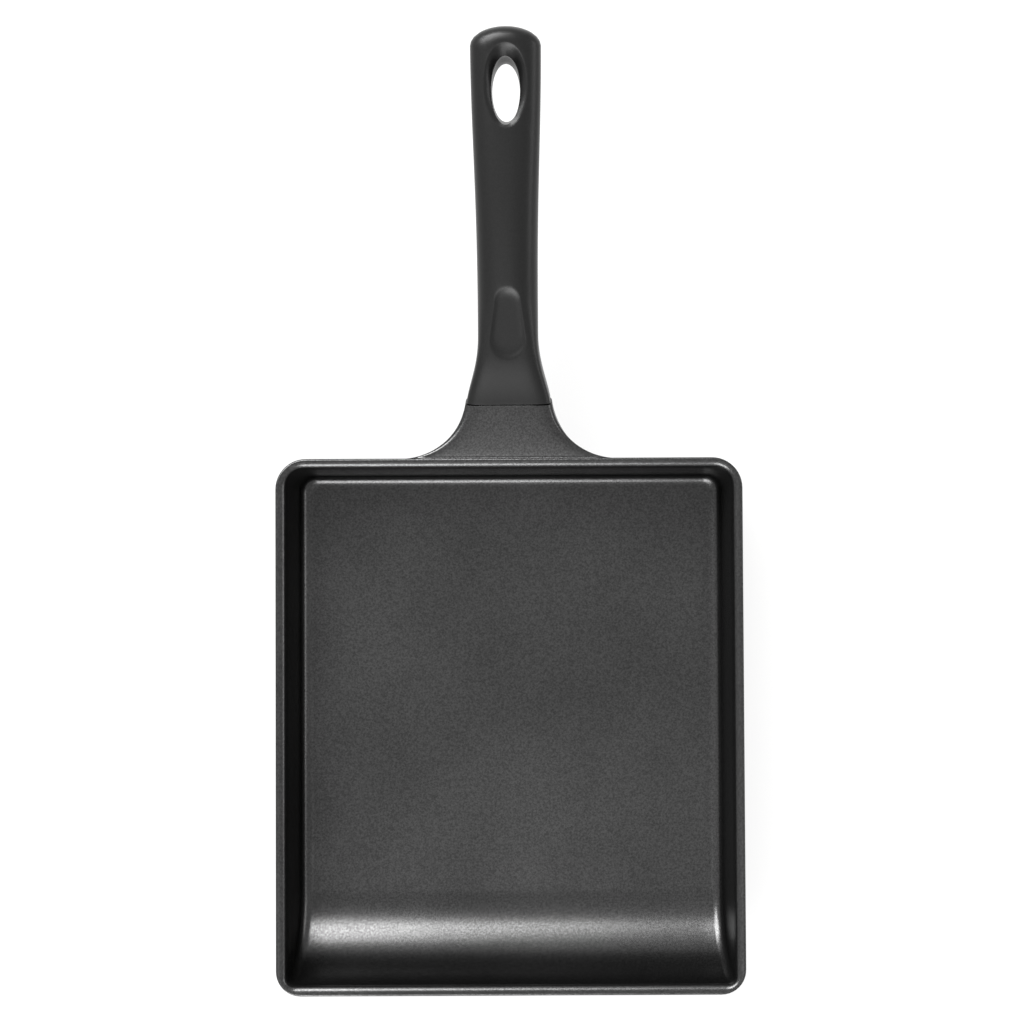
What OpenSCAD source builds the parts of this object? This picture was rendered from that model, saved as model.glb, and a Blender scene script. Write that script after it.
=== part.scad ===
// Rectangular omelette pan with a cast body, a curved front ramp and a moulded grip.
// Origin: on the plane the pan stands on, under the middle of the rim outline.
// X to the right, Y towards the grip, Z up. Millimetres.

/* [Tray] */
// Width over the rim
pan_w = 180; // [140:1:220]
// Length over the rim, front to back
pan_l = 206; // [170:1:250]
// Height of the rim above the hob
pan_h = 37; // [30:0.5:50]
// Width of the rim seen from above
rim_w = 3.8; // [3:0.1:6]
// Slope of the upright walls, in degrees
draft = 5; // [2:0.5:10]
// Thickness of the floor between its coated faces
floor_t = 3.2; // [2.5:0.1:5]
// Plan radius of the two outer corners beside the grip
rear_corner_r = 13; // [11:0.5:20]
// Plan radius of the two outer corners at the ramp
front_corner_r = 10.5; // [10:0.5:18]
// Plan radius of the inner corners at the rim
inner_corner_r = 7.5; // [6.5:0.5:10]
// Fillet between the floor and the upright walls
floor_fillet = 3.4; // [2:0.1:4]
// Radius of the hollow ramp at the front
ramp_r = 32; // [20:0.5:34]
// Rounding on the inner edge of the rim
rim_in_r = 1.1; // [0.5:0.1:1.6]
// Rounding on the outer edge of the rim
rim_out_r = 1.7; // [0.5:0.1:2]
// Rounding between the underside and the outer walls
heel_r = 5.5; // [3:0.5:6]

/* [Foot and hob plate] */
// How far the machined foot stands below the coated underside
foot_h = 0.8; // [0.5:0.1:1.5]
// Flat strip left between the heel rounding and the foot
foot_gap = 2; // [1:0.5:6]
// Plan radius of the foot's corners
foot_corner_r = 12; // [6:1:20]
// Land of bare aluminium left round the hob plate
land_w = 7; // [4:0.5:15]
// Thickness of the hob plate
plate_t = 0.6; // [0.4:0.1:1]
// Diameter of the holes in the hob plate
plate_hole_d = 4.2; // [3:0.1:6]
// Distance between the holes
plate_pitch = 11.5; // [9:0.5:16]
// Gap between the plate and the aluminium pressed round it
plate_fit = 0.05; // [0.02:0.01:0.1]

/* [Neck and tang] */
// Length of the neck behind the rim, along its top
neck_len = 20; // [14:0.5:30]
// Radius of the neck's fillets, seen from above
neck_fillet = 25; // [20:0.5:32]
// How far the neck's top lies below the rim
neck_drop = 1.6; // [1:0.1:4]
// Extra depth that the neck gains towards the wall
neck_web = 6.5; // [2:0.5:9]
// How far the neck stands proud of the grip at the seam
seam_step = 0.4; // [0.1:0.1:1]
// Width of the tang inside the grip
tang_w = 16; // [12:0.5:17]
// Thickness of the tang
tang_t = 7; // [5:0.5:8]
// Length of the tang
tang_len = 38; // [30:1:60]
// Height of the tang's middle above the grip's axis
tang_rise = 1; // [0:0.5:1.5]
// Clearance over and beside the tang
tang_fit = 0.2; // [0.1:0.05:0.4]

/* [Grip] */
// Length of the grip along its axis
grip_len = 142; // [120:1:170]
// Rise of the grip above the level, in degrees
grip_tilt = 13; // [6:0.5:20]
// Width where the grip meets the neck
grip_w_seam = 33; // [30:0.5:36]
// Width at the waist
grip_w_waist = 22.6; // [22:0.2:28]
// Width near the end
grip_w_end = 25.8; // [22:0.2:32]
// Distance of the waist from the seam
waist_at = 26; // [20:1:34]
// Depth where the grip meets the neck
grip_h_seam = 17; // [16:0.5:20]
// Greatest depth, where the palm lies
grip_h_palm = 18.6; // [17:0.2:24]
// Depth near the end
grip_h_end = 15.4; // [12:0.2:20]
// Distance of the palm swell from the seam
palm_at = 60; // [40:1:90]
// Length of the rounded end
end_round = 7; // [4:0.5:12]
// Squareness of the grip's section, where 2 is an ellipse
section_power = 2.7; // [2.2:0.1:4]

/* [Hanging hole] */
// Width of the hole
hang_w = 11.1; // [8:0.1:13]
// Length of the hole
hang_len = 25; // [14:0.5:30]
// Distance from the hole's middle to the end of the grip
hang_from_end = 23; // [18:0.5:40]
// Width of the dish round the hole
dish_w = 16.9; // [14:0.1:19]
// How far the dish reaches past the hole towards the end
dish_reach = 5.4; // [2:0.2:7]
// Depth of the dish
dish_depth = 5; // [2:0.2:6]

/* [Thumb rest] */
// Radius of the broad end, which lies nearer the pan
thumb_r_broad = 6.5; // [4:0.1:8]
// Radius of the narrow end
thumb_r_narrow = 4.2; // [3:0.1:6]
// Distance from the seam to the middle of the broad end
thumb_at = 24; // [16:0.5:34]
// Distance between the middles of the two ends
thumb_len = 17.2; // [10:0.2:24]
// Depth below the grip's crown
thumb_depth = 1.2; // [0.6:0.1:1.6]

/* [Fastening] */
// Nominal diameter of the screw
screw_d = 5; // [4:0.5:6]
// Diameter of the screw's head
head_d = 9.2; // [8:0.1:11]
// Height of the screw's head
head_h = 3; // [2:0.1:3.2]
// Radius of the edge of the screw's head
head_edge_r = 1.2; // [0.4:0.1:1.6]
// Distance of the screw from the seam
screw_at = 22; // [16:0.5:30]
// Grip material between the washer and the tang
seat_t = 2.2; // [1.5:0.1:3]
// Clearance between the screw and the tapped hole's wall, on the radius
thread_fit = 0.04; // [0.02:0.01:0.1]
// Clearance between the screw and the grip, on the radius
screw_fit = 0.25; // [0.1:0.05:0.5]
// Clearance round the head and the washer, on the radius
bore_fit = 0.5; // [0.3:0.1:1]
// Thickness of the lock washer
washer_t = 1.2; // [0.8:0.1:1.6]
// Width of the washer's ring
washer_ring = 1.8; // [1.2:0.1:2.2]
// Width of the gap in the washer
washer_gap = 0.8; // [0.4:0.1:1.5]
// How far the screw's tip stays inside the tang
screw_short = 0.5; // [0:0.1:2]
// Width of the cross recess
driver_w = 1.1; // [0.8:0.1:1.6]
// Span of the cross recess
driver_len = 5; // [3:0.1:6]
// Depth of the cross recess
driver_h = 1.7; // [1:0.1:1.8]

/* [Hidden] */
$fn = 64;

skin = 0.05; // keeps a cut from lying exactly on the face it would touch
clear = 10; // how far cutting shapes run past what they cut
arc_steps = 8; // straight lines in a quarter of a small rounding
lip_steps = 5; // straight lines in the rounding on the inner edge of the rim
ramp_steps = 20; // straight lines along the ramp
ring_points = 32; // points round a section of the grip or the neck
bar_stations = 30; // sections along the grip, up to its rounded end
end_stations = 6; // sections round its end
end_angle = 84; // where the rounded end turns flat
neck_stations = 22; // sections along the neck
root_power = 4; // squareness of the neck's section where it meets the wall
oval_points = 48; // points round the hanging hole

// Heights in the tray
floor_z = foot_h + floor_t;

// The seam between neck and grip, which is square to the grip's axis
half_seam = grip_h_seam / 2;
seam_y = pan_l / 2 + neck_len + half_seam * sin(grip_tilt);
seam_z = pan_h - neck_drop + neck_len * tan(grip_tilt) - half_seam * cos(grip_tilt);

// The neck in plan: a fillet of neck_fillet on each side, tangent to the rear wall
neck_seam_half = grip_w_seam / 2 + seam_step;
seam_behind = seam_y - pan_l / 2;
fillet_left = neck_fillet - min(seam_behind, neck_fillet);
neck_root_half = neck_seam_half + sqrt(neck_fillet * neck_fillet - fillet_left * fillet_left);
neck_start = -seam_behind / cos(grip_tilt) - clear;

// The foot fills the flat underside, between the heel roundings and the outer ramp
outer_foot_inset = (pan_h - foot_h) * tan(draft) + heel_r + foot_gap;
outer_ramp_r = ramp_r + rim_w;
ramp_start = ramp_y(-pan_l / 2, foot_h, outer_ramp_r);
foot_front = ramp_start + foot_gap;
foot_rear = pan_l / 2 - outer_foot_inset;
foot_w = pan_w - 2 * outer_foot_inset;
foot_l = foot_rear - foot_front;
foot_y = (foot_rear + foot_front) / 2;
plate_w = foot_w - 2 * land_w;
plate_l = foot_l - 2 * land_w;
plate_corner_r = max(foot_corner_r - land_w, 1);
plate_cols = floor((plate_w / 2 - plate_hole_d) / plate_pitch);
plate_rows = floor((plate_l / 2 - plate_hole_d) / plate_pitch);

// The tang and the screw, in the grip's own axes
tang_under = tang_rise - tang_t / 2;
washer_seat = tang_under - seat_t;
washer_r = screw_d / 2 + screw_fit + washer_ring;
bore_r = max(head_d / 2, washer_r) + bore_fit;
screw_len = washer_t + seat_t + tang_t - screw_short;

// The grip's bar ends where its rounded end starts
grip_bar = grip_len - end_round;
hang_at = grip_len - hang_from_end;

function mix(a, b, t) = a + (b - a) * t;
function ease(t) = (1 - cos(180 * max(0, min(1, t)))) / 2;

// Points along an arc about [cx, cy] from angle a to angle b
function arc(cx, cy, r, a, b, n = arc_steps) =
    [for (i = [0:n]) let (t = a + (b - a) * i / n) [cx + r * cos(t), cy + r * sin(t)]];

// Points in whole thousandths of a millimetre, so that neighbouring pieces of the tray share their edges
function snapped(points) = [for (p = points) [round(p[0] * 1000) / 1000, round(p[1] * 1000) / 1000]];

// Middle of a ramp of radius r that is tangent to a sloped front face and to the level z
function ramp_y(face_y, z, r) = face_y + (pan_h - z - r) * tan(draft) + r / cos(draft);

// How far each height of the outer face lies inside the rim outline, from the bottom up
function outer_inset() =
    let (
        top_z = pan_h - rim_out_r,
        low_z = foot_h + heel_r,
        low_in = rim_out_r + (heel_r - rim_out_r) * cos(draft)
            + (top_z - low_z + (heel_r - rim_out_r) * sin(draft)) * tan(draft)
    )
    snapped(concat(
        arc(low_in, low_z, heel_r, 270, 180 + draft),
        arc(rim_out_r, top_z, rim_out_r, 180 + draft, 90)
    ));

// How far each height of the cavity lies inside its own outline at the rim, from the bottom up
function cavity_inset() =
    let (
        low_z = floor_z + floor_fillet,
        low_in = (pan_h - low_z) * tan(draft) + floor_fillet / cos(draft),
        lip_in = -rim_in_r / cos(draft) + rim_in_r * tan(draft)
    )
    snapped(concat(
        arc(low_in, low_z, floor_fillet, 270, 180 + draft),
        arc(lip_in, pan_h - rim_in_r, rim_in_r, draft, 90, lip_steps),
        [[lip_in, pan_h + clear]]
    ));

// A solid tray of the given plan size whose side follows a list of [inset, height]
module tray(w, l, inset, rear_r, front_r) {
    low = inset[0][1];
    high = inset[len(inset) - 1][1];
    corners = [[1, 1, rear_r, 0], [-1, 1, rear_r, 90], [-1, -1, front_r, 180], [1, -1, front_r, 270]];
    for (c = corners)
        translate([c[0] * (w / 2 - c[2]), c[1] * (l / 2 - c[2]), 0])
            rotate([0, 0, c[3]])
                rotate_extrude(angle = 90)
                    polygon(concat([[0, low]], [for (p = inset) [c[2] - p[0], p[1]]], [[0, high]]));
    translate([0, l / 2 - rear_r, 0])
        rotate([90, 0, 0])
            linear_extrude(l - rear_r - front_r)
                polygon(concat(
                    [for (p = inset) [w / 2 - p[0], p[1]]],
                    [for (i = [len(inset) - 1:-1:0]) [inset[i][0] - w / 2, inset[i][1]]]
                ));
    for (e = [[1, rear_r], [-1, front_r]])
        translate([-(w / 2 - e[1]), 0, 0])
            rotate([90, 0, 90])
                linear_extrude(w - 2 * e[1])
                    polygon(concat(
                        [[e[0] * (l / 2 - e[1]), low]],
                        [for (p = inset) [e[0] * (l / 2 - p[0]), p[1]]],
                        [[e[0] * (l / 2 - e[1]), high]]
                    ));
}

// Everything behind and above a ramp, as wide as the pan
module behind_ramp(face_y, z, r) {
    mid_y = ramp_y(face_y, z, r) - skin;
    mid_z = z + r - skin;
    curve = arc(mid_y, mid_z, r, 270, 180 + draft, ramp_steps);
    last = curve[ramp_steps];
    rise = pan_h + 2 * clear - last[1];
    translate([-pan_w, 0, 0])
        rotate([90, 0, 90])
            linear_extrude(2 * pan_w)
                polygon(concat(
                    [[pan_l, mid_z - r]],
                    curve,
                    [[last[0] - rise * tan(draft), last[1] + rise], [pan_l, last[1] + rise]]
                ));
}

module rounded_rect(w, l, r) {
    square([w - 2 * r, l], center = true);
    square([w, l - 2 * r], center = true);
    for (x = [-1, 1], y = [-1, 1])
        translate([x * (w / 2 - r), y * (l / 2 - r)]) circle(r);
}

// Puts its children in the grip's axes: Y along the grip from the seam, Z square to it
module at_seam() {
    translate([0, seam_y, seam_z]) rotate([grip_tilt, 0, 0]) children();
}

// One section: s along the axis, half width a, top and underside heights, squareness e
function ring(s, a, top, under, e) =
    [for (i = [0:ring_points - 1])
        let (t = 360 * i / ring_points, c = cos(t), d = sin(t))
        [
            a * sign(c) * pow(abs(c), 2 / e),
            s,
            (top + under) / 2 + (top - under) / 2 * sign(d) * pow(abs(d), 2 / e)
        ]];

// A closed skin over a row of sections, with flat ends
module loft(rings) {
    n = ring_points;
    last = len(rings) - 1;
    polyhedron(
        points = [for (r = rings) each r],
        faces = concat(
            [for (k = [0:last - 1], i = [0:n - 1]) [k * n + i, k * n + (i + 1) % n, (k + 1) * n + i]],
            [for (k = [0:last - 1], i = [0:n - 1])
                [k * n + (i + 1) % n, (k + 1) * n + (i + 1) % n, (k + 1) * n + i]],
            [[for (i = [n - 1:-1:0]) i]],
            [[for (i = [0:n - 1]) last * n + i]]
        )
    );
}

// The neck's half width at a distance behind the rim
function neck_half(d) =
    let (left = neck_fillet - max(0, min(d, neck_fillet)))
    neck_root_half - sqrt(neck_fillet * neck_fillet - left * left);

function neck_ring(k) =
    let (
        s = neck_start * (1 - k / neck_stations),
        t = s * cos(grip_tilt) / seam_behind
    )
    ring(
        s,
        neck_half(seam_behind * (1 + t)),
        half_seam,
        -half_seam - neck_web * min(1, t * t),
        mix(section_power, root_power, min(1, -t))
    );

module neck() {
    loft([for (k = [0:neck_stations]) neck_ring(k)]);
}

module tang() {
    translate([-tang_w / 2, -skin, tang_under]) cube([tang_w, tang_len + skin, tang_t]);
}

module plate_holes(d, h) {
    for (i = [-plate_cols:plate_cols], j = [-plate_rows:plate_rows])
        translate([i * plate_pitch, foot_y + j * plate_pitch, -skin]) cylinder(d = d, h = h + 2 * skin);
}

module pan_body() {
    color([0.24, 0.24, 0.25])
        difference() {
            union() {
                intersection() {
                    tray(pan_w, pan_l, outer_inset(), rear_corner_r, front_corner_r);
                    behind_ramp(-pan_l / 2, foot_h, outer_ramp_r);
                }
                translate([0, foot_y, 0])
                    linear_extrude(floor_z - skin) rounded_rect(foot_w, foot_l, foot_corner_r);
                at_seam() {
                    neck();
                    tang();
                }
            }
            intersection() {
                tray(pan_w - 2 * rim_w, pan_l - 2 * rim_w, cavity_inset(), inner_corner_r, inner_corner_r);
                behind_ramp(-pan_l / 2 + rim_w, floor_z, ramp_r);
            }
            difference() {
                translate([0, foot_y, -clear])
                    linear_extrude(clear + plate_t) rounded_rect(plate_w, plate_l, plate_corner_r);
                plate_holes(plate_hole_d - 2 * plate_fit, plate_t);
            }
            at_seam()
                translate([0, screw_at, tang_under - clear])
                    cylinder(r = screw_d / 2 + thread_fit, h = tang_t + 2 * clear);
        }
}

module induction_plate() {
    color([0.72, 0.72, 0.74])
        difference() {
            translate([0, foot_y, 0])
                linear_extrude(plate_t)
                    rounded_rect(plate_w - 2 * plate_fit, plate_l - 2 * plate_fit, plate_corner_r - plate_fit);
            plate_holes(plate_hole_d, plate_t);
        }
}

// Half width and half depth of the grip along its axis, before its end is rounded
function grip_half_w(s) =
    (mix(grip_w_waist, grip_w_end, ease((s - waist_at) / (grip_bar - waist_at)))
        + (grip_w_seam - grip_w_waist) * (1 - ease(s / waist_at))) / 2;
function grip_half_h(s) =
    (s < palm_at
        ? mix(grip_h_seam, grip_h_palm, ease(s / palm_at))
        : mix(grip_h_palm, grip_h_end, ease((s - palm_at) / (grip_bar - palm_at)))) / 2;

function grip_ring(s, f) = ring(s, f * grip_half_w(s), f * grip_half_h(s), -f * grip_half_h(s), section_power);

// The whole grip before anything is cut from it: sections evenly along the bar, then closer round its end
module grip_blank() {
    loft(concat(
        [for (k = [0:bar_stations]) grip_ring(grip_bar * k / bar_stations, 1)],
        [for (k = [1:end_stations])
            let (a = end_angle * k / end_stations)
            grip_ring(grip_bar + end_round * sin(a) / sin(end_angle), cos(a))]
    ));
}

// An oval of the given width and length round a point on the axis
module oval(w, l) {
    polygon([for (i = [0:oval_points - 1])
        let (t = 360 * i / oval_points) [w / 2 * cos(t), l / 2 * sin(t)]]);
}

module hanging_hole() {
    crown = grip_half_h(hang_at);
    dish_len = hang_len + dish_reach;
    translate([0, hang_at, -2 * crown]) linear_extrude(4 * crown) oval(hang_w, hang_len);
    hull() {
        translate([0, hang_at + dish_reach / 2, crown]) linear_extrude(clear) oval(dish_w, dish_len);
        translate([0, hang_at, crown - dish_depth]) linear_extrude(skin) oval(hang_w, hang_len);
    }
}

// Outline of the thumb rest: two round ends joined by their common tangents
module teardrop() {
    lean = asin((thumb_r_broad - thumb_r_narrow) / thumb_len);
    polygon(concat(
        arc(0, 0, thumb_r_broad, 180 - lean, 360 + lean, 2 * arc_steps),
        arc(0, thumb_len, thumb_r_narrow, lean, 180 - lean, 2 * arc_steps)
    ));
}

module grip() {
    color([0.16, 0.16, 0.17])
        at_seam()
            difference() {
                grip_blank();
                hanging_hole();
                translate([0, thumb_at, grip_half_h(thumb_at) - thumb_depth])
                    linear_extrude(clear) teardrop();
                translate([-tang_w / 2 - tang_fit, -clear, tang_under])
                    cube([tang_w + 2 * tang_fit, clear + tang_len + tang_fit, tang_t + tang_fit]);
                translate([0, screw_at, washer_seat - skin])
                    cylinder(r = screw_d / 2 + screw_fit, h = seat_t + 2 * skin);
                translate([0, screw_at, washer_seat - 2 * clear]) cylinder(r = bore_r, h = 2 * clear);
            }
}

// Pan-head screw with a cross recess, its head downwards
module grip_screw() {
    color([0.66, 0.67, 0.68])
        at_seam()
            translate([0, screw_at, washer_seat - washer_t])
                difference() {
                    union() {
                        cylinder(d = screw_d, h = screw_len);
                        translate([0, 0, -head_h])
                            rotate_extrude()
                                polygon(concat(
                                    [[0, 0]],
                                    arc(head_d / 2 - head_edge_r, head_edge_r, head_edge_r, 270, 360),
                                    [[head_d / 2, head_h], [0, head_h]]
                                ));
                    }
                    for (a = [0, 90])
                        rotate([0, 0, a])
                            translate([-driver_len / 2, -driver_w / 2, -head_h - skin])
                                cube([driver_len, driver_w, driver_h + skin]);
                }
}

module lock_washer() {
    color([0.62, 0.62, 0.6])
        at_seam()
            translate([0, screw_at, washer_seat - washer_t])
                difference() {
                    cylinder(r = washer_r, h = washer_t);
                    translate([0, 0, -skin]) cylinder(r = screw_d / 2 + screw_fit, h = washer_t + 2 * skin);
                    translate([0, -washer_gap / 2, -skin]) cube([clear, washer_gap, washer_t + 2 * skin]);
                }
}

pan_body();
induction_plate();
grip();
grip_screw();
lock_washer();
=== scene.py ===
import math

import bmesh
import bpy
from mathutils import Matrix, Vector


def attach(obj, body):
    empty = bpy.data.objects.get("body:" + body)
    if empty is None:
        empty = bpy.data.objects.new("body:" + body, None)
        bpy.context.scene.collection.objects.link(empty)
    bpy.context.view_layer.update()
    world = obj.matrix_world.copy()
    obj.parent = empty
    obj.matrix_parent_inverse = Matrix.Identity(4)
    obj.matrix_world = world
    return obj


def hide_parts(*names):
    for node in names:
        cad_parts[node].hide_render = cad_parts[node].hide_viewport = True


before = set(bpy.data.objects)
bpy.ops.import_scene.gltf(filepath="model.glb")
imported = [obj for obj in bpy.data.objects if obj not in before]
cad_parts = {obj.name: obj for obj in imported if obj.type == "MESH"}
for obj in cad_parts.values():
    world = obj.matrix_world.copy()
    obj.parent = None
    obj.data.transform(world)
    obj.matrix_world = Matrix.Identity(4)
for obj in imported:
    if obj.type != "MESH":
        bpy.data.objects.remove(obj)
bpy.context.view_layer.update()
print("frame loaded")

scene = bpy.context.scene
scene.view_settings.view_transform = "Standard"
mm = 0.001

# where the grip starts on the neck, and how far it rises from the level
seam = (124.91, 31.84)
gripTilt = math.radians(13)


# Small sums used by several pieces

def mix(a, b, t):
    return a + (b - a) * t


def clamp(t, low=0.0, high=1.0):
    return max(low, min(high, t))


def ease(t):
    return (1 - math.cos(math.pi * clamp(t))) / 2


def arcRise(x, radius):
    # how far a quarter round of this radius still stands off at distance x from its start
    left = clamp(radius - x, 0, radius)
    return radius - math.sqrt(radius * radius - left * left)


def squirclePoint(u, v, power):
    # point of the superellipse in the direction (u, v)
    size = (abs(u) ** power + abs(v) ** power) ** (1 / power)
    return u / size, v / size


# Mesh helpers: a shape starts as one closed loop of vertices, and is extruded loop by loop

def placeLoop(loop, points):
    for vert, point in zip(loop, points):
        vert.co = Vector(point) * mm


def firstLoop(bm, points):
    loop = bmesh.ops.create_circle(bm, cap_ends=False, segments=len(points), radius=1)["verts"]
    placeLoop(loop, points)
    return loop


def loopEdges(bm, loop):
    return [bm.edges.get((a, b)) for a, b in zip(loop, loop[1:] + loop[:1])]


def growLoop(bm, loop, points):
    grown = bmesh.ops.extrude_edge_only(bm, edges=loopEdges(bm, loop))["geom"]
    twins = {tuple(g.co): g for g in grown if isinstance(g, bmesh.types.BMVert)}
    fresh = [twins[tuple(v.co)] for v in loop]
    placeLoop(fresh, points)
    return fresh


def closeLoop(bm, loop):
    bmesh.ops.contextual_create(bm, geom=loopEdges(bm, loop))


def gridEdge(first, last, low, high):
    # the border of a block of a grid as (row, column), once round
    top = [(last, c) for c in range(low, high)]
    right = [(r, high) for r in range(last, first, -1)]
    bottom = [(first, c) for c in range(high, low, -1)]
    left = [(r, low) for r in range(first, last)]
    return top + right + bottom + left


def cutBlock(bm, grid, first, last, low, high):
    # opens a block of a grid and gives back the border loop
    held = {grid[r][c % len(grid[r])] for r in range(first, last + 1) for c in range(low, high + 1)}
    faces = [f for f in bm.faces if all(v in held for v in f.verts)]
    bmesh.ops.delete(bm, geom=faces, context="FACES")
    return [grid[r][c % len(grid[r])] for r, c in gridEdge(first, last, low, high)]


def finishPiece(bm, name, materials, nodes, sharpAngle=40):
    bmesh.ops.remove_doubles(bm, verts=bm.verts, dist=0.002 * mm)
    bmesh.ops.recalc_face_normals(bm, faces=bm.faces)
    for face in bm.faces:
        face.smooth = True
    for edge in bm.edges:
        edge.smooth = len(edge.link_faces) == 2 and edge.calc_face_angle(0) < math.radians(sharpAngle)
    mesh = bpy.data.meshes.new(name)
    bm.to_mesh(mesh)
    bm.free()
    for material in materials:
        mesh.materials.append(material)
    piece = bpy.data.objects.new(name, mesh)
    scene.collection.objects.link(piece)
    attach(piece, "root")
    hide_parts(*nodes)
    print(name, len(mesh.polygons), "faces")
    return piece


# Materials

def toLinear(hexColour):
    channels = [int(hexColour[i:i + 2], 16) / 255 for i in (1, 3, 5)]
    return [c / 12.92 if c <= 0.04045 else ((c + 0.055) / 1.055) ** 2.4 for c in channels] + [1]


def addNode(tree, kind, settings=None, links=None):
    node = tree.nodes.new(kind)
    for name, value in (settings or {}).items():
        if hasattr(node, name) and name not in node.inputs:
            setattr(node, name, value)
        else:
            node.inputs[name].default_value = value
    for name, source in (links or {}).items():
        tree.links.new(source, node.inputs[name])
    return node


def newMaterial(name, settings):
    material = bpy.data.materials.new(name)
    material.use_nodes = True
    shader = material.node_tree.nodes["Principled BSDF"]
    for key, value in settings.items():
        shader.inputs[key].default_value = value
    return material, material.node_tree, shader


def addRamp(tree, source, stops):
    ramp = addNode(tree, "ShaderNodeValToRGB", {}, {"Fac": source})
    for element, (position, colour) in zip(ramp.color_ramp.elements, stops):
        element.position = position
        element.color = toLinear(colour)
    return ramp.outputs["Color"]


def nonstickCoat():
    # sprayed fluoropolymer with aluminium flake: charcoal, satin, with a fine glitter in its shine
    # and faint clouds where the spray lies thicker
    material, tree, shader = newMaterial("sprayed nonstick coat", {"Metallic": 0.95, "Roughness": 0.27})
    shader.inputs["Specular Tint"].default_value = (0.42, 0.42, 0.42, 1)
    place = addNode(tree, "ShaderNodeTexCoord").outputs["Object"]
    fleck = addNode(tree, "ShaderNodeTexNoise", {"Scale": 1400.0, "Detail": 4.0, "Roughness": 0.62},
                    {"Vector": place}).outputs["Fac"]
    cloud = addNode(tree, "ShaderNodeTexNoise", {"Scale": 16.0, "Detail": 3.0}, {"Vector": place}).outputs["Fac"]
    colour = addNode(tree, "ShaderNodeVectorMath", {"operation": "MULTIPLY"})
    tree.links.new(addRamp(tree, fleck, [(0.36, "#363636"), (0.64, "#4a4a4a")]), colour.inputs[0])
    tree.links.new(addRamp(tree, cloud, [(0.35, "#e8e8e8"), (0.65, "#ffffff")]), colour.inputs[1])
    tree.links.new(colour.outputs["Vector"], shader.inputs["Base Color"])
    bump = addNode(tree, "ShaderNodeBump", {"Strength": 0.08, "Distance": 0.0001}, {"Height": fleck})
    tree.links.new(bump.outputs["Normal"], shader.inputs["Normal"])
    return material


def machinedAluminium():
    # bare casting turned flat under the pan: bright, with the round marks of the tool
    material, tree, shader = newMaterial("machined aluminium", {"Metallic": 1.0, "Roughness": 0.3})
    place = addNode(tree, "ShaderNodeTexCoord").outputs["Object"]
    away = addNode(tree, "ShaderNodeVectorMath", {"operation": "LENGTH"})
    tree.links.new(place, away.inputs[0])
    rings = addNode(tree, "ShaderNodeTexNoise", {"noise_dimensions": "1D", "Scale": 1800.0, "Detail": 3.0},
                    {"W": away.outputs["Value"]}).outputs["Fac"]
    tree.links.new(addRamp(tree, rings, [(0.3, "#b2b4b6"), (0.7, "#dedfe0")]), shader.inputs["Base Color"])
    bump = addNode(tree, "ShaderNodeBump", {"Strength": 0.3, "Distance": 0.0001}, {"Height": rings})
    tree.links.new(bump.outputs["Normal"], shader.inputs["Normal"])
    return material


def gripMoulding():
    # moulded phenolic: soft black from the mould's fine texture, with the mould's parting line along both sides
    material, tree, shader = newMaterial("moulded phenolic", {"Roughness": 0.36, "Specular IOR Level": 0.23})
    place = addNode(tree, "ShaderNodeTexCoord").outputs["Object"]
    grain = addNode(tree, "ShaderNodeTexNoise", {"Scale": 1800.0, "Detail": 2.0}, {"Vector": place}).outputs["Fac"]
    tree.links.new(addRamp(tree, grain, [(0.3, "#060606"), (0.7, "#0e0e0e")]), shader.inputs["Base Color"])
    bump = addNode(tree, "ShaderNodeBump", {"Strength": 0.06, "Distance": 0.0001}, {"Height": grain})
    back = (0, -seam[0] * mm, -seam[1] * mm)
    moved = addNode(tree, "ShaderNodeVectorMath", {"operation": "ADD"}, {})
    tree.links.new(place, moved.inputs[0])
    moved.inputs[1].default_value = back
    turned = addNode(tree, "ShaderNodeVectorRotate", {"rotation_type": "X_AXIS", "Angle": -gripTilt},
                     {"Vector": moved.outputs["Vector"]}).outputs["Vector"]
    height = addNode(tree, "ShaderNodeSeparateXYZ", {}, {"Vector": turned}).outputs["Z"]
    away = addNode(tree, "ShaderNodeMath", {"operation": "ABSOLUTE"})
    tree.links.new(height, away.inputs[0])
    line = addNode(tree, "ShaderNodeMapRange", {"From Max": 0.00016, "To Min": 1.0, "To Max": 0.0},
                   {"Value": away.outputs[0]}).outputs["Result"]
    ridge = addNode(tree, "ShaderNodeBump", {"Strength": 0.6, "Distance": 0.00008},
                    {"Height": line, "Normal": bump.outputs["Normal"]})
    tree.links.new(ridge.outputs["Normal"], shader.inputs["Normal"])
    return material


def brushedStainless():
    # brushed stainless of the hob plate: warm grey with long straight scratches across the pan
    material, tree, shader = newMaterial("brushed stainless", {"Metallic": 1.0, "Roughness": 0.32})
    place = addNode(tree, "ShaderNodeTexCoord").outputs["Object"]
    stretch = addNode(tree, "ShaderNodeMapping", {"Scale": (40.0, 2600.0, 40.0)}, {"Vector": place}).outputs["Vector"]
    brush = addNode(tree, "ShaderNodeTexNoise", {"Scale": 1.0, "Detail": 3.0}, {"Vector": stretch}).outputs["Fac"]
    tree.links.new(addRamp(tree, brush, [(0.3, "#989795"), (0.7, "#cccbc8")]), shader.inputs["Base Color"])
    bump = addNode(tree, "ShaderNodeBump", {"Strength": 0.3, "Distance": 0.0001}, {"Height": brush})
    tree.links.new(bump.outputs["Normal"], shader.inputs["Normal"])
    return material


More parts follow.
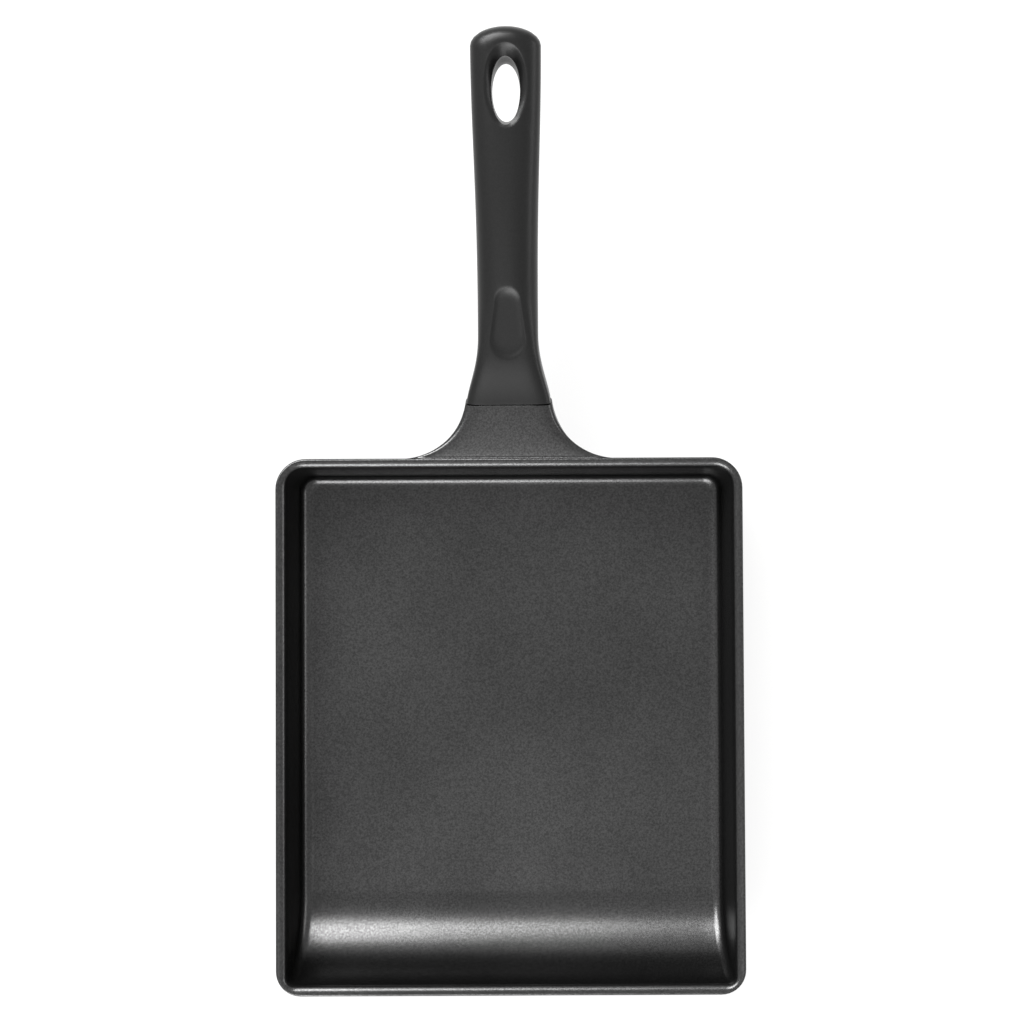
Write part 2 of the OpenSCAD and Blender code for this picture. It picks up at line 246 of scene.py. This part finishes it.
def platedZinc():
    # bright zinc on the screw and its washer, faintly cloudy
    material, tree, shader = newMaterial("zinc plated steel", {"Metallic": 1.0, "Roughness": 0.28})
    place = addNode(tree, "ShaderNodeTexCoord").outputs["Object"]
    cloud = addNode(tree, "ShaderNodeTexNoise", {"Scale": 700.0, "Detail": 3.0}, {"Vector": place}).outputs["Fac"]
    tree.links.new(addRamp(tree, cloud, [(0.3, "#a7aaae"), (0.7, "#cdd0d3")]), shader.inputs["Base Color"])
    return material


# Pan body, in millimetres and degrees

pan = {
    "width": 180.0, "length": 206.0, "height": 37.0, "rimWidth": 3.8, "draft": 5.0, "sideDraft": 5.8,
    "outerRound": 0.7, "innerRound": 3.0,        # the rim's two edges
    "taper": 0.0075,                             # the rear is narrower than the front by this share
    "rearCorner": 11.7, "frontCorner": 9.5,     # plan radii outside
    "innerRearCorner": 7.0, "innerCrease": 3.1,  # plan radii inside, the crease runs on down the ramp
    "floorUp": 4.0, "rearFillet": 3.4, "rampRadius": 32.0,
    "footHeight": 0.8, "heel": 5.5, "footGap": 2.0, "footCorner": 12.0, "footEdge": 0.25,
    "land": 7.0, "plateDepth": 0.6, "pocketCorner": 5.0,
    "postWidth": 4.1, "postPitch": 11.5,
    "rampRows": 24, "rampTurn": 85.0,
    "frontSteps": 12, "creaseSteps": 10, "sideSteps": 16, "rearCornerSteps": 12, "rearSteps": 26,
}
slope = math.tan(math.radians(pan["draft"]))
slant = math.cos(math.radians(pan["draft"]))
halfRow = sum(pan[k] for k in ("frontSteps", "creaseSteps", "sideSteps", "rearCornerSteps", "rearSteps"))


def bothSides(half):
    # the right half runs from the middle of the front to the middle of the rear
    return half + [(-x, y, z) for x, y, z in reversed(half[1:-1])]


def halfOutline(z, front, corner, side, rear):
    # front(x) gives the front line, corner the points from it to the side wall at x = side[0]
    width, rearY, radius = side[0], rear, side[1]
    points = []
    startX = corner[0][0]
    for i in range(pan["frontSteps"]):
        points.append((startX * i / pan["frontSteps"], front, z))
    points += [(x, y, z) for x, y in corner]
    lowY = corner[-1][1]
    highY = rearY - radius
    for i in range(1, pan["sideSteps"]):
        points.append((width, mix(lowY, highY, i / pan["sideSteps"]), z))
    for i in range(pan["rearCornerSteps"] + 1):
        angle = math.pi / 2 * i / pan["rearCornerSteps"]
        points.append((width - radius + radius * math.cos(angle), highY + radius * math.sin(angle), z))
    for i in range(1, pan["rearSteps"] + 1):
        points.append(((width - radius) * (1 - i / pan["rearSteps"]), rearY, z))
    return points


def trayLoop(z, width, frontY, rearY, rearRadius, crease, ramp=None, fillet=0.0):
    # one level of the tray: width and rearY are where the bare walls stand at this level, and
    # ramp is (radius, centre y, centre z) where the level still cuts the ramp
    corner = []
    reach = 1.0
    if ramp:
        drop = ramp[2] - z
        reach = clamp((drop - ramp[0] + crease) / crease)
        frontY = ramp[1] - math.sqrt(ramp[0] ** 2 - drop ** 2)
    turn = math.acos(reach) if ramp else math.pi / 2
    for i in range(pan["creaseSteps"] + 1):
        angle = turn * i / pan["creaseSteps"]
        x = width - crease + crease * math.sin(angle)
        if ramp:
            around = ramp[0] - crease + crease * math.cos(angle)
            y = ramp[1] - math.sqrt(max(around ** 2 - drop ** 2, 0))
        else:
            y = frontY + crease * (1 - math.cos(angle))
        corner.append((x, y))
    half = halfOutline(z, frontY, corner, (corner[-1][0], rearRadius), rearY - fillet)
    return bothSides([(px * (1 + pan["taper"] * (0.25 - (py / pan["length"] + 0.5))), py, z) for px, py, z in half])


def plainLoop(z, halfWidth, frontY, rearY, radius):
    corner = []
    for i in range(pan["creaseSteps"] + 1):
        angle = math.pi / 2 * i / pan["creaseSteps"]
        corner.append((halfWidth - radius + radius * math.sin(angle), frontY + radius - radius * math.cos(angle)))
    return bothSides(halfOutline(z, frontY, corner, (halfWidth, radius), rearY))


def cavityLoops():
    # from the floor up to the rim's inner edge
    rimW = pan["width"] / 2 - pan["rimWidth"]
    rimY = pan["length"] / 2 - pan["rimWidth"]
    r = pan["rampRadius"]
    centreZ = pan["floorUp"] + r
    centreY = -rimY + (pan["height"] - centreZ) * slope + r / slant
    sideSlope = math.tan(math.radians(pan["sideDraft"]))
    loops = []
    for k in range(pan["rampRows"] + 1):
        turn = math.radians(mix(1.5, pan["rampTurn"], k / pan["rampRows"]))
        z = centreZ - r * math.cos(turn)
        inset = (pan["height"] - z) * slope
        width = rimW - (pan["height"] - z) * sideSlope
        up = z - pan["floorUp"]
        fillet = arcRise(up, pan["rearFillet"])
        radius = mix(5.8, pan["innerRearCorner"], z / pan["height"]) - 0.7 * fillet
        crease = mix(3.9, pan["innerCrease"], ease(k / pan["rampRows"]))
        loops.append(trayLoop(z, width, 0, rimY - inset, radius, crease, (r, centreY, centreZ), fillet))
    z = pan["height"] - pan["innerRound"]
    for k in range(1, 4):
        level = mix(centreZ - r * math.cos(math.radians(pan["rampTurn"])), z, k / 4)
        inset = (pan["height"] - level) * slope
        loops.append(trayLoop(level, rimW - inset, -rimY + inset, rimY - inset, pan["innerRearCorner"],
                              pan["innerCrease"]))
    return loops


def rimLoops():
    # over the rim, from the inner wall to the outer wall
    loops = []
    inner, outer = pan["innerRound"], pan["outerRound"]
    halfW, halfY = pan["width"] / 2, pan["length"] / 2
    steps = []
    for i in range(7):
        angle = math.radians(mix(pan["draft"], 90, i / 6))
        inset = pan["rimWidth"] - inner / slant + inner * slope + inner * math.cos(angle)
        steps.append((inset, pan["height"] - inner + inner * math.sin(angle)))
    for i in range(9):
        angle = math.radians(mix(90, 180 + pan["draft"], i / 8))
        steps.append((outer + outer * math.cos(angle), pan["height"] - outer + outer * math.sin(angle)))
    for inset, z in steps:
        t = clamp(inset / pan["rimWidth"])
        loops.append(trayLoop(z, halfW - inset, -halfY + inset, halfY - inset,
                              mix(pan["rearCorner"], pan["innerRearCorner"], t),
                              mix(pan["frontCorner"], pan["innerCrease"], t)))
    return loops


def wallInset(z):
    # how far the bare outer wall lies inside the rim outline
    outer = pan["outerRound"]
    angle = math.radians(pan["draft"])
    tangentZ = pan["height"] - outer - outer * math.sin(angle)
    return outer - outer * math.cos(angle) + (tangentZ - z) * slope


def outerLoops():
    # from under the rim down the outer wall and the outside of the ramp to the underside
    halfW, halfY = pan["width"] / 2, pan["length"] / 2
    r = pan["rampRadius"] + pan["rimWidth"]
    centreZ = pan["footHeight"] + r
    centreY = -halfY + (pan["height"] - centreZ) * slope + r / slant
    loops = []
    for z in (36.15, 35.2):
        inset = wallInset(z)
        loops.append(trayLoop(z, halfW - inset, -halfY + inset, halfY - inset, pan["rearCorner"],
                              pan["frontCorner"]))
    for k in range(pan["rampRows"], -1, -1):
        turn = math.radians(mix(1.5, pan["rampTurn"], k / pan["rampRows"]))
        z = centreZ - r * math.cos(turn)
        inset = wallInset(z)
        fillet = arcRise(z - pan["footHeight"], pan["heel"])
        crease = mix(pan["heel"], pan["frontCorner"], ease(k / pan["rampRows"]))
        loops.append(trayLoop(z, halfW - inset, 0, halfY - inset, pan["rearCorner"] - fillet, crease,
                              (r, centreY, centreZ), fillet))
    return loops


def makeBody(coat, bare):
    bm = bmesh.new()
    cavity = cavityLoops()
    floorInset = 1.0
    flat = cavity[0]
    low = [(x * (1 - floorInset / 85), y - math.copysign(floorInset, y - 15), z) for x, y, z in flat]
    loop = firstLoop(bm, low)
    closeLoop(bm, loop)
    for points in cavity + rimLoops():
        loop = growLoop(bm, loop, points)
    wall = []
    for points in outerLoops():
        loop = growLoop(bm, loop, points)
        wall.append(loop)
    footLoops(bm, loop)
    for face in bm.faces:
        if all(v.co.z < (pan["footHeight"] - 0.1) * mm for v in face.verts):
            face.material_index = 1
    growNeck(bm, wall)
    addPosts(bm)
    return finishPiece(bm, "panBody", [coat, bare], ["pan_body"])


def footBox():
    inset = (pan["height"] - pan["footHeight"]) * slope + pan["heel"] + pan["footGap"]
    r = pan["rampRadius"] + pan["rimWidth"]
    front = -pan["length"] / 2 + (pan["height"] - pan["footHeight"] - r) * slope + r / slant + pan["footGap"]
    return pan["width"] / 2 - inset, front, pan["length"] / 2 - inset


def footLoops(bm, loop):
    halfW, front, rear = footBox()
    edge, up, corner = pan["footEdge"], pan["footHeight"], pan["footCorner"]
    land, pocket = pan["land"], pan["pocketCorner"]
    steps = [
        (0, up, corner), (0, up - 0.12, corner), (0, edge, corner), (0.3 * edge, 0.3 * edge, corner),
        (edge, 0, corner), (land - 0.12, 0, pocket), (land, 0.12, pocket), (land, pan["plateDepth"], pocket),
        (land + 1, pan["plateDepth"], pocket),
    ]
    for inset, z, radius in steps:
        loop = growLoop(bm, loop, plainLoop(z, halfW - inset, front + inset, rear - inset, radius))
    closeLoop(bm, loop)


def addPosts(bm):
    # the casting shows through the plate's holes, flush with it
    halfW, front, rear = footBox()
    middle = (front + rear) / 2
    edge = pan["land"] + pan["postWidth"]
    columns = int((halfW - edge) / pan["postPitch"])
    rows = int(((rear - front) / 2 - edge) / pan["postPitch"])
    r = pan["postWidth"] / 2
    for i in range(-columns, columns + 1):
        for j in range(-rows, rows + 1):
            made = bmesh.ops.create_cone(bm, cap_ends=True, segments=24, radius1=r * mm, radius2=r * mm,
                                         depth=(pan["plateDepth"] + 0.1) * mm)["verts"]
            place = Vector((i * pan["postPitch"], middle + j * pan["postPitch"], pan["plateDepth"] / 2 + 0.05))
            bmesh.ops.translate(bm, verts=made, vec=place * mm)
            for face in {f for v in made for f in v.link_faces}:
                face.material_index = 1


neckShape = {
    "rootHalf": 42.9, "seamHalf": 16.6, "fillet": 25.6, "columns": 14, "stations": 18,
    "top": (35.5, 39.4), "topBend": 0.7, "valley": 0.6, "bottom": (11.5, 24.2), "bottomPower": 2.2,
    "reach": (24.98, 19.72),     # from the wall to the seam, at the underside and at the top
    "power": 8.0, "lowPower": 2.5, "edge": 0.12,
    "tang": (16.0, 7.0, 38.0, 1.0),  # width, thickness, length, rise
}
def alongGrip(x, s, h):
    # the grip's own axes: s along it from the seam, h square to it
    return (x, seam[0] + s * math.cos(gripTilt) - h * math.sin(gripTilt),
            seam[1] + s * math.sin(gripTilt) + h * math.cos(gripTilt))


def growNeck(bm, wall):
    n = neckShape
    low, high = halfRow - n["columns"], halfRow + n["columns"]
    first = next(k for k, row in enumerate(wall) if row[halfRow].co.z < n["bottom"][0] * mm)
    last = 0
    blocks = gridEdge(last, first, low, high)
    loop = cutBlock(bm, wall, last, first, low, high)
    ring = []
    for row, column in blocks:
        u = (halfRow - column) / n["columns"]
        v = 1 - 2 * (row - last) / (first - last)
        ring.append((math.sin(u * math.pi / 2), math.sin(v * math.pi / 2)))
    turnEnd = math.acos(1 - 22.35 / n["fillet"])
    for k in range(n["stations"] + 2):
        share = min(k, n["stations"]) / n["stations"]
        turn = turnEnd * share
        if k == n["stations"]:
            turn *= 0.995
        out = (1 - math.cos(turn)) / (1 - math.cos(turnEnd))
        half = mix(n["rootHalf"], n["seamHalf"], math.sin(turn) / math.sin(turnEnd))
        # the top edges keep their roundness in millimetres while the neck narrows
        topPower = n["power"] * half / n["seamHalf"]
        lowPower = mix(n["lowPower"], n["power"], ease(share) ** 2)
        top = mix(n["top"][0], n["top"][1], out ** n["topBend"]) + arcRise(out * n["reach"][1], n["valley"])
        bottom = mix(n["bottom"][1], n["bottom"][0], (1 - out) ** n["bottomPower"])
        trim = n["edge"] if k > n["stations"] else 0
        points = []
        for u, v in ring:
            x, up = squirclePoint(u, v, topPower if v > 0 else lowPower)
            q = (up + 1) / 2
            z = mix(bottom + trim, top - trim, q)
            y = pan["length"] / 2 - wallInset(z) + mix(n["reach"][0], n["reach"][1], q) * out
            points.append(((half - trim) * x, y, z))
        if k == 0:
            placeLoop(loop, points)
        else:
            loop = growLoop(bm, loop, points)
    w, t, length, rise = n["tang"]
    for s in (0, length):
        points = []
        for u, v in ring:
            x, up = squirclePoint(u, v, 12)
            points.append(alongGrip(x * w / 2, s, rise + up * t / 2))
        loop = growLoop(bm, loop, points)
    closeLoop(bm, loop)


# Grip, in its own axes

gripShape = {
    "length": 142.0, "endRound": 7.3, "endPower": 3.0, "power": (8.0, 2.4),
    "width": (32.3, 23.0, 26.5), "waistAt": 26.0, "flarePower": 0.72,
    "height": (15.6, 17.8, 18.6, 15.4), "kneeAt": 20.0, "ovalAt": 42.0, "palmAt": 60.0,
    "columns": 64, "step": 1.6, "edge": 0.12, "gap": 0.2,
    "endRows": (2.3, 1.8, 1.4, 1.05, 0.75, 0.5, 0.32, 0.18, 0.08),
    "thumb": {"at": 24.6, "span": 16.6, "broad": 7.0, "narrow": 4.9, "depth": 0.8, "columns": 6},
    "hole": {"top": (106.2, 131.4, 5.4), "bottom": (106.1, 127.7, 5.25), "dish": (104.7, 136.9, 8.5),
             "depth": (0.3, 1.2, 2.6, 4.6, 2.4), "columns": 7, "edge": 1.0},
    "bore": {"at": 22.0, "radius": 5.1, "seat": -4.7, "columns": 5},
    "pocket": (16.4, 7.2, 38.2, 1.1),
}


def gripHalfW(s):
    g = gripShape
    seamW, waistW, endW = g["width"]
    bar = g["length"] - g["endRound"]
    half = (mix(waistW, endW, ease((s - g["waistAt"]) / (bar - g["waistAt"])) ** 1.7)
            + (seamW - waistW) * (1 - ease(clamp(s / g["waistAt"]) ** g["flarePower"]))) / 2
    u = clamp((s - bar) / g["endRound"])
    return half * math.sqrt(1 - u * u)


def gripHalfH(s):
    g = gripShape
    seamH, kneeH, palmH, endH = g["height"]
    bar = g["length"] - g["endRound"]
    if s < g["palmAt"]:
        half = (palmH - (kneeH - seamH) * (1 - ease(s / g["kneeAt"]))
                - (palmH - kneeH) * (1 - ease(s / g["palmAt"]))) / 2
    else:
        half = mix(palmH, endH, ease((s - g["palmAt"]) / (bar - g["palmAt"]))) / 2
    u = clamp((s - bar) / g["endRound"])
    return half * (1 - u ** g["endPower"]) ** (1 / g["endPower"])


def gripPower(s):
    # the section is squarish at the seam and an oval in the palm
    g = gripShape
    return mix(g["power"][0], g["power"][1], ease(s / g["ovalAt"]))


def crownAt(x, s):
    t = clamp(abs(x) / gripHalfW(s))
    power = gripPower(s)
    return gripHalfH(s) * (1 - t ** power) ** (1 / power)


def ovalTest(low, high, half):
    return lambda x, s: (x / half) ** 2 + ((s - (low + high) / 2) / ((high - low) / 2)) ** 2 < 1


def thumbTest(extra=0.0):
    t = gripShape["thumb"]
    spots = [i / 40 for i in range(41)]

    def inside(x, s):
        return any(math.hypot(x, s - t["at"] - t["span"] * k) < mix(t["broad"], t["narrow"], k) + extra
                   for k in spots)
    return inside


def edgeOf(inside, centre, direction):
    # the outline's point in one direction from a point inside it
    near, far = 0.0, 60.0
    for i in range(36):
        middle = (near + far) / 2
        if inside(direction[0] * middle, centre + direction[1] * middle):
            near = middle
        else:
            far = middle
    return direction[0] * near, centre + direction[1] * near


def stationRows():
    g = gripShape
    rows = [g["gap"], g["gap"] + g["edge"], g["gap"] + 2 * g["edge"]]
    while rows[-1] + g["step"] < g["length"] - g["endRows"][0]:
        rows.append(rows[-1] + g["step"])
    return rows + [g["length"] - back for back in g["endRows"]]


def rowNear(rows, s):
    return min(range(len(rows)), key=lambda k: abs(rows[k] - s))


def shapeBlock(grid, rows, block, centre, inside, side, margin=0.8):
    # moves the border of a block onto an outline, and its surroundings after it
    first, last, low, high = block
    g = gripShape
    middleC = (low + high) / 2
    spanC = (high - low) / 2
    midRow = (first + last) / 2
    spanR = (last - first) / 2
    reach = int(spanR * (1 + margin)) + 1

    def home(row, column):
        angle = 2 * math.pi * column / g["columns"]
        s = rows[int(clamp(row, 0, len(rows) - 1))]
        x, up = squirclePoint(math.cos(angle), math.sin(angle), gripPower(s))
        return x * gripHalfW(s), s

    for row in range(max(int(midRow - reach), 1), min(int(midRow + reach) + 1, len(rows) - 1)):
        for column in range(int(middleC - spanC * (1 + margin)), int(middleC + spanC * (1 + margin)) + 1):
            u = (column - middleC) / spanC
            v = (row - midRow) / spanR
            far = max(abs(u), abs(v))
            if far > 1 + margin or far == 0:
                continue
            vert = grid[row][column % g["columns"]]
            if not vert.is_valid:
                continue
            edgeU, edgeV = u / far, v / far
            squareRow = midRow + edgeV * spanR
            squareCol = middleC + edgeU * spanC
            lowRow = int(math.floor(squareRow))
            part = squareRow - lowRow
            x0, s0 = home(lowRow, squareCol)
            x1, s1 = home(lowRow + 1, squareCol) if part > 0 else (x0, s0)
            fromX, fromS = mix(x0, x1, part), mix(s0, s1, part)
            size = math.hypot(fromX, fromS - centre)
            toX, toS = edgeOf(inside, centre, (fromX / size, (fromS - centre) / size))
            x, s = home(row, column)
            if far <= 1:
                x, s = toX * far, centre + (toS - centre) * far
            else:
                fall = (1 - (far - 1) / margin) ** 2
                x, s = x + (toX - fromX) * fall, s + (toS - fromS) * fall
            vert.co = Vector(alongGrip(x, s, side * crownAt(x, s))) * mm


def makeGrip(material):
    g = gripShape
    rows = stationRows()
    count = g["columns"]
    angles = [2 * math.pi * i / count for i in range(count)]
    bm = bmesh.new()
    grid = []
    loop = None
    for k, s in enumerate(rows):
        trim = g["edge"] * 0.8 if k == 0 else 0
        points = []
        for angle in angles:
            x, up = squirclePoint(math.cos(angle), math.sin(angle), gripPower(s))
            points.append(alongGrip((gripHalfW(s) - trim) * x, s, (gripHalfH(s) - trim) * up))
        loop = growLoop(bm, loop, points) if loop else firstLoop(bm, points)
        grid.append(loop)
    closeLoop(bm, loop)
    gripPocket(bm, grid[0], angles)
    thumbRest(bm, grid, rows)
    hangingHole(bm, grid, rows)
    screwBore(bm, grid, rows)
    return finishPiece(bm, "gripMoulding", [material], ["grip"], 50)


def gripPocket(bm, loop, angles):
    w, t, length, rise = gripShape["pocket"]
    for s in (gripShape["gap"], length):
        points = []
        for angle in angles:
            x, up = squirclePoint(math.cos(angle), math.sin(angle), 12)
            points.append(alongGrip(x * w / 2, s, rise + up * t / 2))
        loop = growLoop(bm, loop, points)
    closeLoop(bm, loop)


def thumbRest(bm, grid, rows):
    t = gripShape["thumb"]
    quarter = gripShape["columns"] // 4
    first, last = rowNear(rows, t["at"] - t["broad"]), rowNear(rows, t["at"] + t["span"] + t["narrow"])
    block = (first, last, quarter - t["columns"], quarter + t["columns"])
    centre = t["at"] + t["span"] * 0.4
    shapeBlock(grid, rows, block, centre, thumbTest(0.35), 1)
    border = cutBlock(bm, grid, *block)
    level = gripHalfH(t["at"]) - t["depth"]
    outline = []
    for vert in border:
        local = vert.co / mm
        y, z = local.y - seam[0], local.z - seam[1]
        outline.append((local.x, y * math.cos(gripTilt) + z * math.sin(gripTilt)))
    loop = border
    steps = [(0.96, 0.05), (0.92, 0.18), (0.88, 0.38), (0.83, 0.62), (0.77, 0.82), (0.7, 0.94), (0.6, 0.99),
             (0.45, 1.0), (0.2, 1.0)]
    for scale, down in steps:
        points = []
        for x, s in outline:
            px, ps = x * scale, centre + (s - centre) * scale
            bed = level + 0.25 * (gripHalfH(ps) - gripHalfH(t["at"]))
            points.append(alongGrip(px, ps, mix(crownAt(px, ps), bed, down)))
        loop = growLoop(bm, loop, points)
    closeLoop(bm, loop)


def hangingHole(bm, grid, rows):
    h = gripShape["hole"]
    count = gripShape["columns"]
    dishLow, dishHigh, dishHalf = h["dish"]
    first, last = rowNear(rows, dishLow), rowNear(rows, dishHigh)
    centre = (dishLow + dishHigh) / 2
    columns = h["columns"]
    top = (first, last, count // 4 - columns, count // 4 + columns)
    under = (first, last, 3 * count // 4 - columns, 3 * count // 4 + columns)
    shapeBlock(grid, rows, top, centre, ovalTest(*h["dish"]), 1, 0.5)
    lowS, highS, halfB = h["bottom"]
    grown = ovalTest(lowS - h["edge"], highS + h["edge"], halfB + h["edge"])
    shapeBlock(grid, rows, under, (lowS + highS) / 2, grown, -1, 0.5)
    loop = cutBlock(bm, grid, *top)
    lower = cutBlock(bm, grid, *under)
    turns = []
    for vert in loop:
        x, y, z = vert.co / mm
        s = (y - seam[0]) * math.cos(gripTilt) + (z - seam[1]) * math.sin(gripTilt)
        turns.append(math.atan2((s - centre) / (dishHigh - dishLow) * 2, x / dishHalf))

    def onOval(oval, turn):
        low, high, half = oval
        return half * math.cos(turn), (low + high) / 2 + (high - low) / 2 * math.sin(turn)

    def throatAt(x, s, turn):
        # the dish is deepest beside the hole's outer end, and runs out toward the pan
        place = (math.asin(clamp(math.sin(turn), -1, 1)) / math.pi + 0.5) * (len(h["depth"]) - 1)
        k = min(int(place), len(h["depth"]) - 2)
        return crownAt(x, s) - mix(h["depth"][k], h["depth"][k + 1], ease(place - k))

    foot = -crownAt(0, (lowS + highS) / 2) + h["edge"]
    for t in (0.06, 0.14, 0.25, 0.38, 0.52, 0.66, 0.8, 0.9, 1.0):
        points = []
        for turn in turns:
            dx, ds = onOval(h["dish"], turn)
            tx, ts = onOval(h["top"], turn)
            x, s = mix(dx, tx, t), mix(ds, ts, t)
            points.append(alongGrip(x, s, mix(crownAt(x, s), throatAt(tx, ts, turn), t ** 1.3)))
        loop = growLoop(bm, loop, points)
    for t in (0.03, 0.1, 0.3, 0.55, 0.8, 1.0):
        points = []
        for turn in turns:
            tx, ts = onOval(h["top"], turn)
            bx, bs = onOval(h["bottom"], turn)
            points.append(alongGrip(mix(tx, bx, ease(t)), mix(ts, bs, ease(t)), mix(throatAt(tx, ts, turn), foot, t)))
        loop = growLoop(bm, loop, points)
    for step in (30, 60):
        a = math.radians(step)
        points = []
        for turn in turns:
            oval = (lowS - h["edge"] * (1 - math.cos(a)), highS + h["edge"] * (1 - math.cos(a)),
                    halfB + h["edge"] * (1 - math.cos(a)))
            x, s = onOval(oval, turn)
            points.append(alongGrip(x, s, mix(foot, -crownAt(x, s), math.sin(a))))
        loop = growLoop(bm, loop, points)
    # the underside's border runs the other way round
    bmesh.ops.bridge_loops(bm, edges=loopEdges(bm, loop) + loopEdges(bm, lower))


def screwBore(bm, grid, rows):
    b = gripShape["bore"]
    low = 3 * gripShape["columns"] // 4 - b["columns"]
    block = (rowNear(rows, b["at"] - b["radius"]), rowNear(rows, b["at"] + b["radius"]), low,
             low + 2 * b["columns"])
    wide = b["radius"] + 0.5
    shapeBlock(grid, rows, block, b["at"], ovalTest(b["at"] - wide, b["at"] + wide, wide), -1)
    loop = cutBlock(bm, grid, *block)
    turns = []
    for vert in loop:
        x, y, z = vert.co / mm
        s = (y - seam[0]) * math.cos(gripTilt) + (z - seam[1]) * math.sin(gripTilt)
        turns.append(math.atan2(s - b["at"], x))
    mouth = -gripHalfH(b["at"]) + 0.9
    for grow, level in ((0.25, None), (0.07, mouth - 0.2), (0, mouth), (0, b["seat"]), (-2.2, b["seat"])):
        points = []
        for turn in turns:
            x = (b["radius"] + grow) * math.cos(turn)
            s = b["at"] + (b["radius"] + grow) * math.sin(turn)
            points.append(alongGrip(x, s, -crownAt(x, s) + 0.12 if level is None else max(level, -crownAt(x, s))))
        loop = growLoop(bm, loop, points)
    closeLoop(bm, loop)


coat = nonstickCoat()
makeBody(coat, machinedAluminium())
makeGrip(gripMoulding())


def dress(node, material):
    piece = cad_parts[node]
    piece.data.materials.clear()
    piece.data.materials.append(material)


dress("induction_plate", brushedStainless())
zinc = platedZinc()
dress("grip_screw", zinc)
dress("lock_washer", zinc)
print("materials set")


# Studio

def addWhiteForCamera(tree, shaderSocket, share):
    # what the camera sees is lifted to plain white by this share, the rest keeps the shadow
    path = addNode(tree, "ShaderNodeLightPath")
    seen = path.outputs["Is Camera Ray"]
    for kind in ("Is Glossy Ray", "Is Transmission Ray"):
        both = addNode(tree, "ShaderNodeMath", {"operation": "ADD", "use_clamp": True})
        tree.links.new(seen, both.inputs[0])
        tree.links.new(path.outputs[kind], both.inputs[1])
        seen = both.outputs[0]
    scaled = addNode(tree, "ShaderNodeMath", {"operation": "MULTIPLY"})
    tree.links.new(seen, scaled.inputs[0])
    scaled.inputs[1].default_value = share
    glow = addNode(tree, "ShaderNodeEmission", {"Strength": 1.0})
    mixer = addNode(tree, "ShaderNodeMixShader")
    tree.links.new(scaled.outputs[0], mixer.inputs["Fac"])
    tree.links.new(shaderSocket, mixer.inputs[1])
    tree.links.new(glow.outputs["Emission"], mixer.inputs[2])
    return mixer.outputs["Shader"]


def makeFloor():
    bpy.ops.mesh.primitive_plane_add(size=6, location=(0, 0, -0.0002))
    floor = bpy.context.object
    floor.name = "studioFloor"
    material, tree, shader = newMaterial("white paper", {"Roughness": 0.9})
    shader.inputs["Base Color"].default_value = toLinear("#f4f4f2")
    lifted = addWhiteForCamera(tree, shader.outputs["BSDF"], studio["floorLift"])
    tree.links.new(lifted, tree.nodes["Material Output"].inputs["Surface"])
    floor.data.materials.append(material)


def makeWorld():
    world = bpy.data.worlds.new("studio")
    scene.world = world
    world.use_nodes = True
    tree = world.node_tree
    plain = tree.nodes["Background"]
    plain.inputs["Color"].default_value = (1, 1, 1, 1)
    plain.inputs["Strength"].default_value = studio["room"]
    lifted = addWhiteForCamera(tree, plain.outputs["Background"], 1.0)
    tree.links.new(lifted, tree.nodes["World Output"].inputs["Surface"])


def softBox(name, place, aim, size, brightness):
    # brightness 1 shows as plain white in a mirror
    light = bpy.data.lights.new(name, "AREA")
    light.shape = "RECTANGLE"
    light.size = size[0]
    light.size_y = size[1]
    light.energy = brightness * math.pi * size[0] * size[1]
    lamp = bpy.data.objects.new(name, light)
    scene.collection.objects.link(lamp)
    lamp.location = place
    lamp.rotation_euler = (Vector(aim) - Vector(place)).to_track_quat("-Z", "Y").to_euler()


studio = {"floorLift": 0.9, "room": 0.55}
makeFloor()
makeWorld()
softBox("rearBox", (-0.75, 1.22, 1.25), (0, 0, 0), (1.5, 1.05), 20.0)
softBox("frontBox", (-0.4, -1.3, 1.08), (0, 0, 0), (0.9, 0.9), 14.5)
softBox("topCard", (-0.05, -0.42, 1.25), (0, 0, 0), (0.2, 0.4), 1.45)
softBox("rightCard", (1.6, 0.3, 0.5), (0, 0.1, 0), (1.2, 0.5), 3.3)

view = {"place": (0.0205, 0.08225, 0.997), "above": 0.960, "width": 0.3922, "roll": -0.26, "shift": -0.0493}
lens = bpy.data.cameras.new("photoCamera")
lens.sensor_width = 36
lens.lens = 36 * view["above"] / view["width"]
lens.shift_x = view["shift"]
camera = bpy.data.objects.new("photoCamera", lens)
scene.collection.objects.link(camera)
camera.location = view["place"]
camera.rotation_euler = (0, 0, math.radians(view["roll"]))
scene.camera = camera
